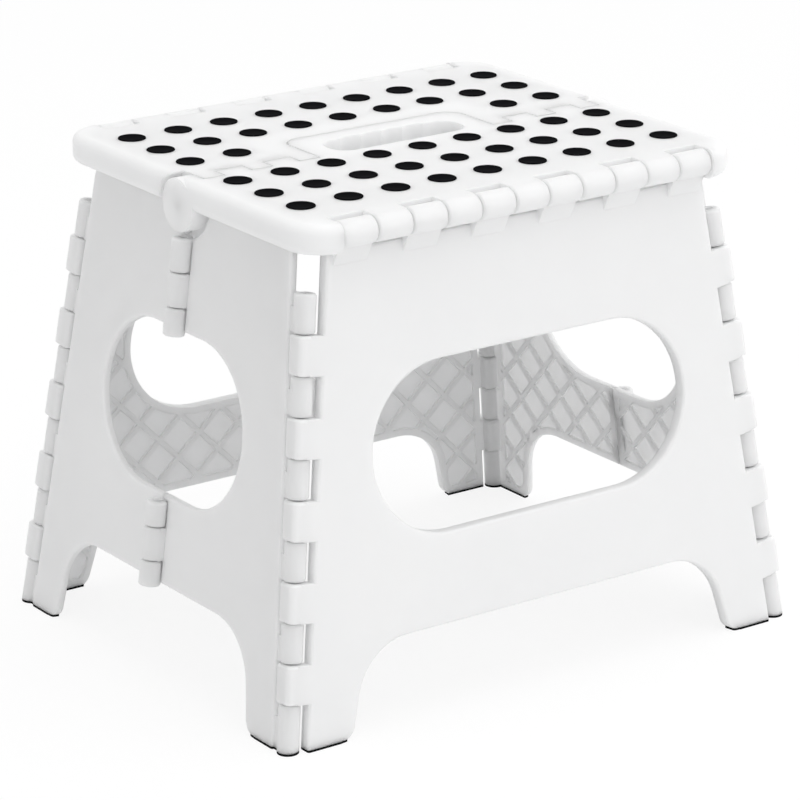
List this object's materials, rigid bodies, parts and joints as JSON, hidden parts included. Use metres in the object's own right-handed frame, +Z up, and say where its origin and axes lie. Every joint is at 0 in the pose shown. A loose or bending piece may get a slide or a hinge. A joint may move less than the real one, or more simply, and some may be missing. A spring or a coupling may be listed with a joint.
{
  "type": "folding step stool",
  "caption": "Folding plastic step stool with a dotted two-part deck, a carrying handle slot, windowed leg panels and hinged side panels that fold inwards.",
  "frame": {"origin": "on the floor under the middle of the deck, with the stool standing open", "axes": "+Z up, +X along the long side of the deck, the half with the handle tongue is on the -Y side"},
  "size_m": [0.3228, 0.2624, 0.2603],
  "materials": {
    "white_plastic": "satin moulded polypropylene",
    "grip_rubber": "matt black",
    "pad_rubber": "matt black",
    "steel_pin": "plain drawn wire"
  },
  "bodies": {
    "front_leg": {"front_panel": "white_plastic", "front_panel_left_pad": "pad_rubber", "front_panel_right_pad": "pad_rubber", "front_edge_pin": "steel_pin", "corner_pin_left_front": "steel_pin", "corner_pin_right_front": "steel_pin"},
    "left_front": {"left_front_side": "white_plastic", "left_front_side_pad": "pad_rubber", "left_side_pin_upper": "steel_pin", "left_side_pin_lower": "steel_pin"},
    "left_back": {"left_back_side": "white_plastic", "left_back_side_pad": "pad_rubber"},
    "back_leg": {"back_panel": "white_plastic", "back_panel_left_pad": "pad_rubber", "back_panel_right_pad": "pad_rubber", "back_edge_pin": "steel_pin", "corner_pin_left_back": "steel_pin", "corner_pin_right_back": "steel_pin"},
    "right_front": {"right_front_side": "white_plastic", "right_front_side_pad": "pad_rubber"},
    "right_back": {"right_back_side": "white_plastic", "right_back_side_pad": "pad_rubber", "right_side_pin_upper": "steel_pin", "right_side_pin_lower": "steel_pin"},
    "front_deck": {"deck_front": "white_plastic", "deck_front_grip_dots": "grip_rubber", "deck_pin_left": "steel_pin", "deck_pin_right": "steel_pin"},
    "back_deck": {"deck_back": "white_plastic", "deck_back_grip_dots": "grip_rubber"}
  },
  "joints": [
    {"name": "left_front_fold", "type": "hinge", "parent": "front_leg", "child": "left_front", "pos_m": [-0.13868, -0.1115, 0.12], "axis": [-0.1308, -0.1052, -0.9858], "range_deg": [0, 86]},
    {"name": "left_side_fold", "type": "hinge", "parent": "left_front", "child": "left_back", "pos_m": [-0.14601, 0, 0.12], "axis": [0.1384, 0, 0.9904], "range_deg": [0, 171]},
    {"name": "left_back_fold", "type": "hinge", "parent": "left_back", "child": "back_leg", "pos_m": [-0.13868, 0.1115, 0.12], "axis": [-0.1308, 0.1052, -0.9858], "range_deg": [0, 86]},
    {"name": "right_front_fold", "type": "hinge", "parent": "front_leg", "child": "right_front", "pos_m": [0.13868, -0.1115, 0.12], "axis": [-0.1308, 0.1052, 0.9858], "range_deg": [0, 86]},
    {"name": "right_back_fold", "type": "hinge", "parent": "back_leg", "child": "right_back", "pos_m": [0.13868, 0.1115, 0.12], "axis": [0.1308, 0.1052, -0.9858], "range_deg": [0, 86]},
    {"name": "front_deck_fold", "type": "hinge", "parent": "front_leg", "child": "front_deck", "pos_m": [0, -0.11, 0.2528], "axis": [1, 0, 0], "range_deg": [0, 76]},
    {"name": "back_deck_fold", "type": "hinge", "parent": "back_leg", "child": "back_deck", "pos_m": [0, 0.11, 0.2528], "axis": [-1, 0, 0], "range_deg": [0, 76]}
  ],
  "couplings": [
    {"joint": "left_side_fold", "follows": "left_front_fold", "ratio": 1.983},
    {"joint": "left_back_fold", "follows": "left_front_fold", "ratio": 1},
    {"joint": "right_front_fold", "follows": "left_front_fold", "ratio": 1},
    {"joint": "right_back_fold", "follows": "left_front_fold", "ratio": 1},
    {"joint": "front_deck_fold", "follows": "left_front_fold", "ratio": 0.88},
    {"joint": "back_deck_fold", "follows": "left_front_fold", "ratio": 0.88}
  ]
}
